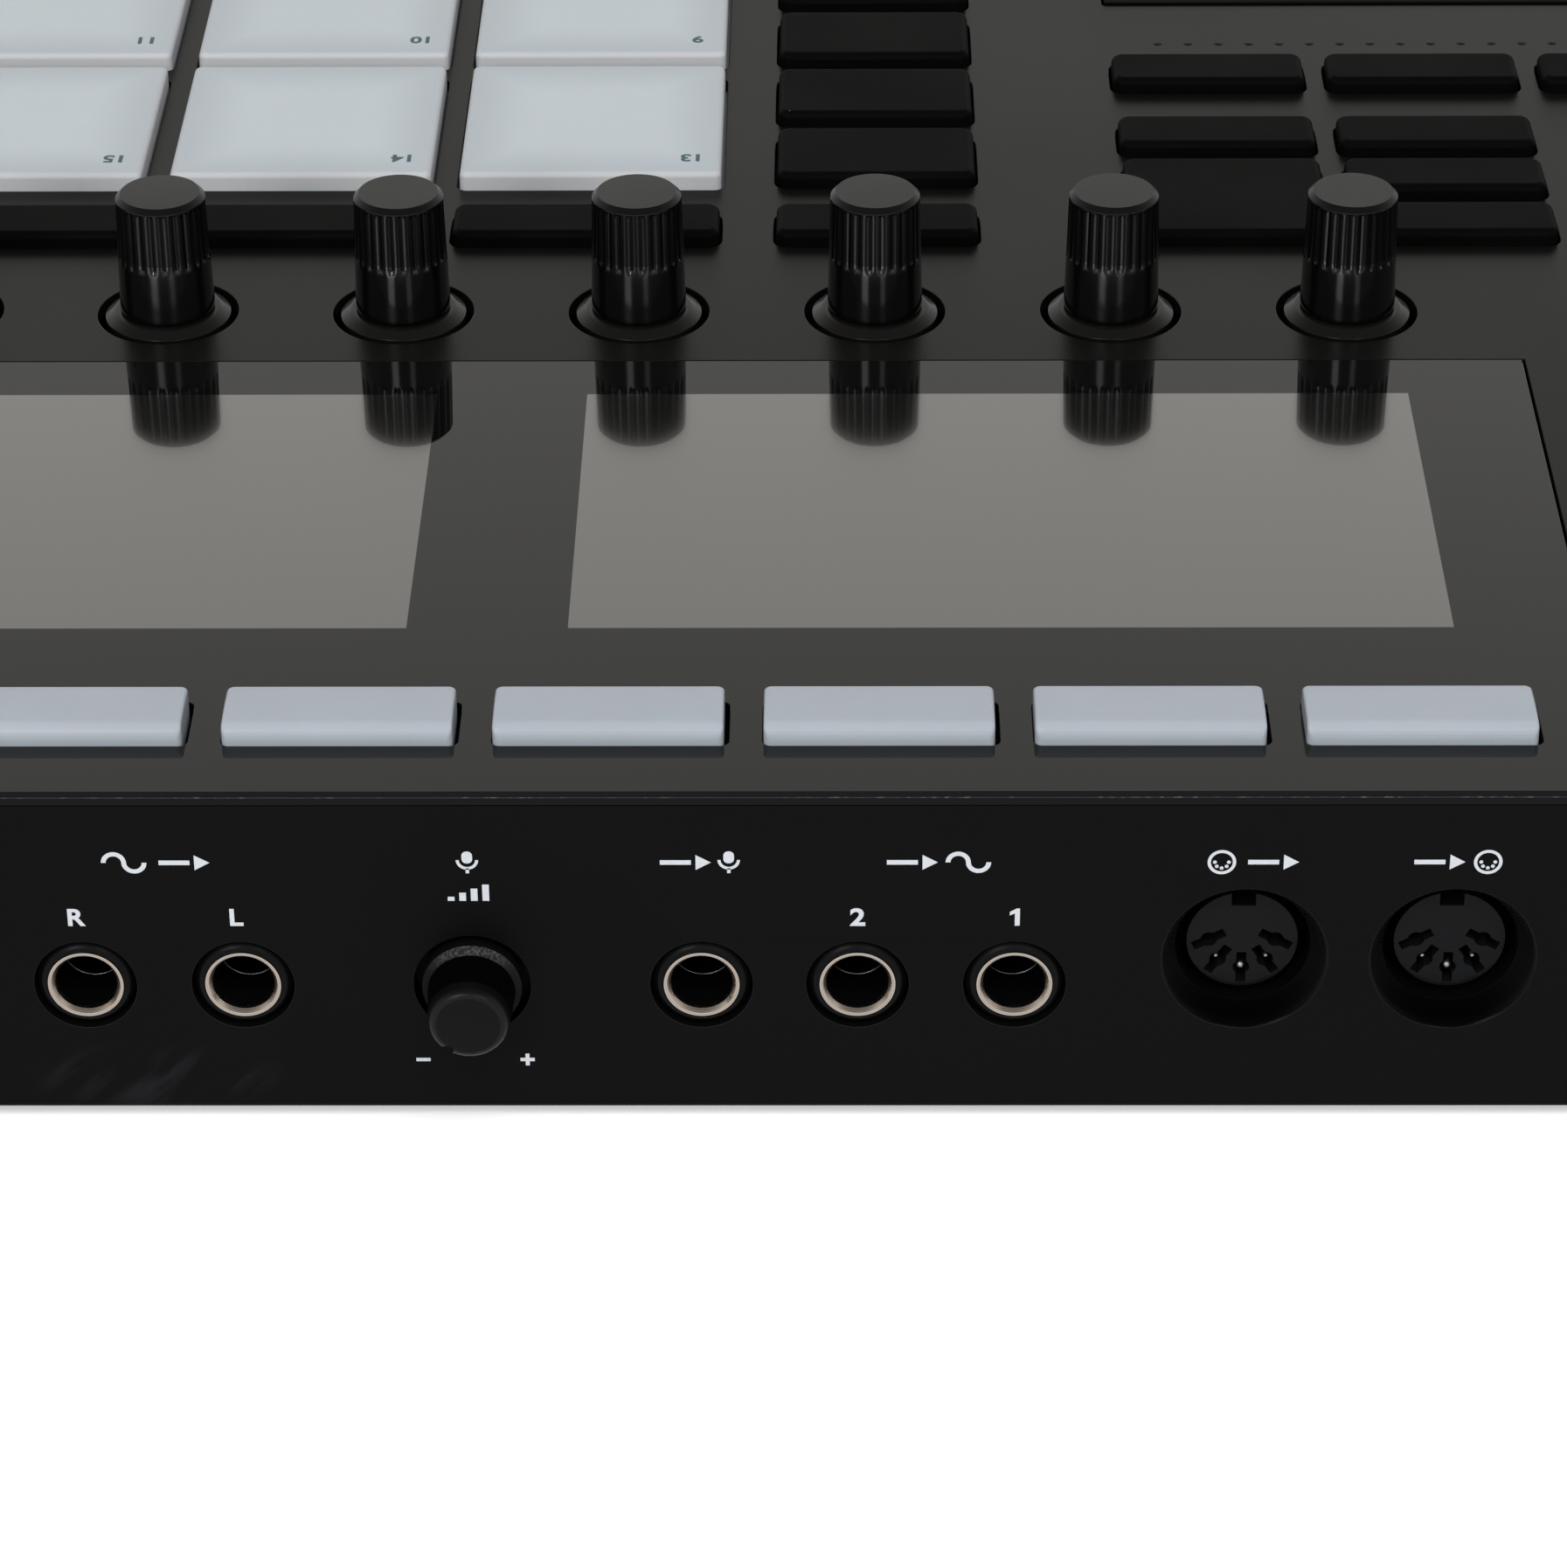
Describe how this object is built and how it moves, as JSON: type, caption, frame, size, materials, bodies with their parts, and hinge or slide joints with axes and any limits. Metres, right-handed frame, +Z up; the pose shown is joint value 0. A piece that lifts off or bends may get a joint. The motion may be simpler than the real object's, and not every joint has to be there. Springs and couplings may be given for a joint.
{
  "type": "midi pad controller",
  "caption": "Desktop music controller with square pads, fluted knobs, two displays under glass, key banks and rear audio and MIDI sockets.",
  "frame": {"origin": "centre of the overall box in plan, on the table surface under the feet", "axes": "+X to the player's right along the width, +Y from the player towards the rear sockets, +Z up"},
  "size_m": [0.32, 0.301, 0.0566],
  "materials": {
    "case_plastic": "fine texture, matt",
    "plate_metal": "dark anodised, satin",
    "cover_glass": "polished, smoke tinted",
    "display": "unlit liquid crystal panel in a frame",
    "black_plastic": "satin",
    "circuit_board": "solder resist",
    "steel": "plated",
    "collar_metal": "bead blasted, satin",
    "nickel": "nickel plated, semi bright",
    "rubber": "matt",
    "knob_plastic": "satin, soft touch",
    "white_plastic": "satin, translucent",
    "white_rubber": "matt silicone, translucent"
  },
  "bodies": {
    "housing": {"bottom_tray": "case_plastic", "top_plate": "plate_metal", "display_glass": "cover_glass", "display_module_left": "display", "display_module_right": "display", "touch_strip": "black_plastic", "control_board": "circuit_board", "main_board": "circuit_board", "encoder_bodies": "steel", "knob_collars": "collar_metal", "jack_sockets": "black_plastic", "jack_bushes": "nickel", "midi_sockets": "black_plastic", "usb_socket": "steel", "dc_socket": "black_plastic", "rear_switchgear": "steel", "feet": "rubber"},
    "knob_1": {"knob_1": "knob_plastic"},
    "knob_2": {"knob_2": "knob_plastic"},
    "knob_3": {"knob_3": "knob_plastic"},
    "knob_4": {"knob_4": "knob_plastic"},
    "knob_5": {"knob_5": "knob_plastic"},
    "knob_6": {"knob_6": "knob_plastic"},
    "knob_7": {"knob_7": "knob_plastic"},
    "knob_8": {"knob_8": "knob_plastic"},
    "gain_knob": {"gain_knob": "knob_plastic"},
    "display_key_8": {"display_key_8": "white_plastic"},
    "display_key_7": {"display_key_7": "white_plastic"},
    "display_key_6": {"display_key_6": "white_plastic"},
    "display_key_5": {"display_key_5": "white_plastic"},
    "display_key_4": {"display_key_4": "white_plastic"},
    "display_key_3": {"display_key_3": "white_plastic"},
    "display_key_2": {"display_key_2": "white_plastic"},
    "display_key_1": {"display_key_1": "white_plastic"},
    "pad_key_mat": {"pad_key_mat": "black_plastic"},
    "wheel_key_mat": {"wheel_key_mat": "black_plastic"},
    "browse_key_mat": {"browse_key_mat": "black_plastic"},
    "group_key_mat": {"group_key_mat": "black_plastic"},
    "transport_key_mat": {"transport_key_mat": "black_plastic"},
    "pad_13": {"pad_13": "white_rubber"},
    "pad_14": {"pad_14": "white_rubber"},
    "pad_15": {"pad_15": "white_rubber"},
    "pad_16": {"pad_16": "white_rubber"},
    "pad_09": {"pad_09": "white_rubber"},
    "pad_10": {"pad_10": "white_rubber"},
    "pad_11": {"pad_11": "white_rubber"},
    "pad_12": {"pad_12": "white_rubber"},
    "pad_05": {"pad_05": "white_rubber"},
    "pad_06": {"pad_06": "white_rubber"},
    "pad_07": {"pad_07": "white_rubber"},
    "pad_08": {"pad_08": "white_rubber"},
    "pad_01": {"pad_01": "white_rubber"},
    "pad_02": {"pad_02": "white_rubber"},
    "pad_03": {"pad_03": "white_rubber"},
    "pad_04": {"pad_04": "white_rubber"},
    "wheel_stem": {"wheel_stem": "steel"},
    "wheel_knob": {"wheel_knob": "knob_plastic"},
    "power_button": {"power_button": "knob_plastic"},
    "main_volume_knob": {"main_volume_knob": "knob_plastic"},
    "phones_volume_knob": {"phones_volume_knob": "knob_plastic"}
  },
  "joints": [
    {"name": "knob_1_turn", "type": "hinge", "parent": "housing", "child": "knob_1", "pos_m": [-0.06688, 0.0345, 0.0525], "axis": [0, 0, 1], "continuous": true},
    {"name": "knob_2_turn", "type": "hinge", "parent": "housing", "child": "knob_2", "pos_m": [-0.03873, 0.0345, 0.0525], "axis": [0, 0, 1], "continuous": true},
    {"name": "knob_3_turn", "type": "hinge", "parent": "housing", "child": "knob_3", "pos_m": [-0.01057, 0.0345, 0.0525], "axis": [0, 0, 1], "continuous": true},
    {"name": "knob_4_turn", "type": "hinge", "parent": "housing", "child": "knob_4", "pos_m": [0.01758, 0.0345, 0.0525], "axis": [0, 0, 1], "continuous": true},
    {"name": "knob_5_turn", "type": "hinge", "parent": "housing", "child": "knob_5", "pos_m": [0.04573, 0.0345, 0.0525], "axis": [0, 0, 1], "continuous": true},
    {"name": "knob_6_turn", "type": "hinge", "parent": "housing", "child": "knob_6", "pos_m": [0.07387, 0.0345, 0.0525], "axis": [0, 0, 1], "continuous": true},
    {"name": "knob_7_turn", "type": "hinge", "parent": "housing", "child": "knob_7", "pos_m": [0.10203, 0.0345, 0.0525], "axis": [0, 0, 1], "continuous": true},
    {"name": "knob_8_turn", "type": "hinge", "parent": "housing", "child": "knob_8", "pos_m": [0.13018, 0.0345, 0.0525], "axis": [0, 0, 1], "continuous": true},
    {"name": "gain_turn", "type": "hinge", "parent": "housing", "child": "gain_knob", "pos_m": [0.0322, 0.1429, 0.0172], "axis": [0, 1, 0], "range_deg": [-150, 150]},
    {"name": "display_key_8_press", "type": "slide", "parent": "housing", "child": "display_key_8", "axis": [0, 0, -1], "range_m": [0, 0.0007], "stiffness_N_per_m": 1800, "springref_m": -0.0006},
    {"name": "display_key_7_press", "type": "slide", "parent": "housing", "child": "display_key_7", "axis": [0, 0, -1], "range_m": [0, 0.0007], "stiffness_N_per_m": 1800, "springref_m": -0.0006},
    {"name": "display_key_6_press", "type": "slide", "parent": "housing", "child": "display_key_6", "axis": [0, 0, -1], "range_m": [0, 0.0007], "stiffness_N_per_m": 1800, "springref_m": -0.0006},
    {"name": "display_key_5_press", "type": "slide", "parent": "housing", "child": "display_key_5", "axis": [0, 0, -1], "range_m": [0, 0.0007], "stiffness_N_per_m": 1800, "springref_m": -0.0006},
    {"name": "display_key_4_press", "type": "slide", "parent": "housing", "child": "display_key_4", "axis": [0, 0, -1], "range_m": [0, 0.0007], "stiffness_N_per_m": 1800, "springref_m": -0.0006},
    {"name": "display_key_3_press", "type": "slide", "parent": "housing", "child": "display_key_3", "axis": [0, 0, -1], "range_m": [0, 0.0007], "stiffness_N_per_m": 1800, "springref_m": -0.0006},
    {"name": "display_key_2_press", "type": "slide", "parent": "housing", "child": "display_key_2", "axis": [0, 0, -1], "range_m": [0, 0.0007], "stiffness_N_per_m": 1800, "springref_m": -0.0006},
    {"name": "display_key_1_press", "type": "slide", "parent": "housing", "child": "display_key_1", "axis": [0, 0, -1], "range_m": [0, 0.0007], "stiffness_N_per_m": 1800, "springref_m": -0.0006},
    {"name": "pad_key_mat_press", "type": "slide", "parent": "housing", "child": "pad_key_mat", "axis": [0, 0, -1], "range_m": [0, 0.0006], "stiffness_N_per_m": 4000, "springref_m": -0.0006},
    {"name": "wheel_key_mat_press", "type": "slide", "parent": "housing", "child": "wheel_key_mat", "axis": [0, 0, -1], "range_m": [0, 0.0006], "stiffness_N_per_m": 4000, "springref_m": -0.0006},
    {"name": "browse_key_mat_press", "type": "slide", "parent": "housing", "child": "browse_key_mat", "axis": [0, 0, -1], "range_m": [0, 0.0006], "stiffness_N_per_m": 4000, "springref_m": -0.0006},
    {"name": "group_key_mat_press", "type": "slide", "parent": "housing", "child": "group_key_mat", "axis": [0, 0, -1], "range_m": [0, 0.0006], "stiffness_N_per_m": 4000, "springref_m": -0.0006},
    {"name": "transport_key_mat_press", "type": "slide", "parent": "housing", "child": "transport_key_mat", "axis": [0, 0, -1], "range_m": [0, 0.0006], "stiffness_N_per_m": 4000, "springref_m": -0.0006},
    {"name": "pad_13_press", "type": "slide", "parent": "housing", "child": "pad_13", "axis": [0, 0, -1], "range_m": [0, 0.0008], "stiffness_N_per_m": 3000, "springref_m": -0.0005},
    {"name": "pad_14_press", "type": "slide", "parent": "housing", "child": "pad_14", "axis": [0, 0, -1], "range_m": [0, 0.0008], "stiffness_N_per_m": 3000, "springref_m": -0.0005},
    {"name": "pad_15_press", "type": "slide", "parent": "housing", "child": "pad_15", "axis": [0, 0, -1], "range_m": [0, 0.0008], "stiffness_N_per_m": 3000, "springref_m": -0.0005},
    {"name": "pad_16_press", "type": "slide", "parent": "housing", "child": "pad_16", "axis": [0, 0, -1], "range_m": [0, 0.0008], "stiffness_N_per_m": 3000, "springref_m": -0.0005},
    {"name": "pad_09_press", "type": "slide", "parent": "housing", "child": "pad_09", "axis": [0, 0, -1], "range_m": [0, 0.0008], "stiffness_N_per_m": 3000, "springref_m": -0.0005},
    {"name": "pad_10_press", "type": "slide", "parent": "housing", "child": "pad_10", "axis": [0, 0, -1], "range_m": [0, 0.0008], "stiffness_N_per_m": 3000, "springref_m": -0.0005},
    {"name": "pad_11_press", "type": "slide", "parent": "housing", "child": "pad_11", "axis": [0, 0, -1], "range_m": [0, 0.0008], "stiffness_N_per_m": 3000, "springref_m": -0.0005},
    {"name": "pad_12_press", "type": "slide", "parent": "housing", "child": "pad_12", "axis": [0, 0, -1], "range_m": [0, 0.0008], "stiffness_N_per_m": 3000, "springref_m": -0.0005},
    {"name": "pad_05_press", "type": "slide", "parent": "housing", "child": "pad_05", "axis": [0, 0, -1], "range_m": [0, 0.0008], "stiffness_N_per_m": 3000, "springref_m": -0.0005},
    {"name": "pad_06_press", "type": "slide", "parent": "housing", "child": "pad_06", "axis": [0, 0, -1], "range_m": [0, 0.0008], "stiffness_N_per_m": 3000, "springref_m": -0.0005},
    {"name": "pad_07_press", "type": "slide", "parent": "housing", "child": "pad_07", "axis": [0, 0, -1], "range_m": [0, 0.0008], "stiffness_N_per_m": 3000, "springref_m": -0.0005},
    {"name": "pad_08_press", "type": "slide", "parent": "housing", "child": "pad_08", "axis": [0, 0, -1], "range_m": [0, 0.0008], "stiffness_N_per_m": 3000, "springref_m": -0.0005},
    {"name": "pad_01_press", "type": "slide", "parent": "housing", "child": "pad_01", "axis": [0, 0, -1], "range_m": [0, 0.0008], "stiffness_N_per_m": 3000, "springref_m": -0.0005},
    {"name": "pad_02_press", "type": "slide", "parent": "housing", "child": "pad_02", "axis": [0, 0, -1], "range_m": [0, 0.0008], "stiffness_N_per_m": 3000, "springref_m": -0.0005},
    {"name": "pad_03_press", "type": "slide", "parent": "housing", "child": "pad_03", "axis": [0, 0, -1], "range_m": [0, 0.0008], "stiffness_N_per_m": 3000, "springref_m": -0.0005},
    {"name": "pad_04_press", "type": "slide", "parent": "housing", "child": "pad_04", "axis": [0, 0, -1], "range_m": [0, 0.0008], "stiffness_N_per_m": 3000, "springref_m": -0.0005},
    {"name": "wheel_press", "type": "slide", "parent": "housing", "child": "wheel_stem", "axis": [0, 0, -1], "range_m": [0, 0.0008], "stiffness_N_per_m": 4000, "springref_m": -0.0006},
    {"name": "wheel_turn", "type": "hinge", "parent": "wheel_stem", "child": "wheel_knob", "pos_m": [-0.12345, -0.00003, 0.048], "axis": [0, 0, 1], "continuous": true},
    {"name": "power_press", "type": "slide", "parent": "housing", "child": "power_button", "axis": [0, -1, 0], "range_m": [0, 0.0015], "stiffness_N_per_m": 1500, "springref_m": -0.0008},
    {"name": "main_volume_turn", "type": "hinge", "parent": "housing", "child": "main_volume_knob", "pos_m": [0.0967, 0.1429, 0.0172], "axis": [0, 1, 0], "range_deg": [-150, 150]},
    {"name": "phones_volume_turn", "type": "hinge", "parent": "housing", "child": "phones_volume_knob", "pos_m": [0.1207, 0.1429, 0.0172], "axis": [0, 1, 0], "range_deg": [-150, 150]}
  ]
}
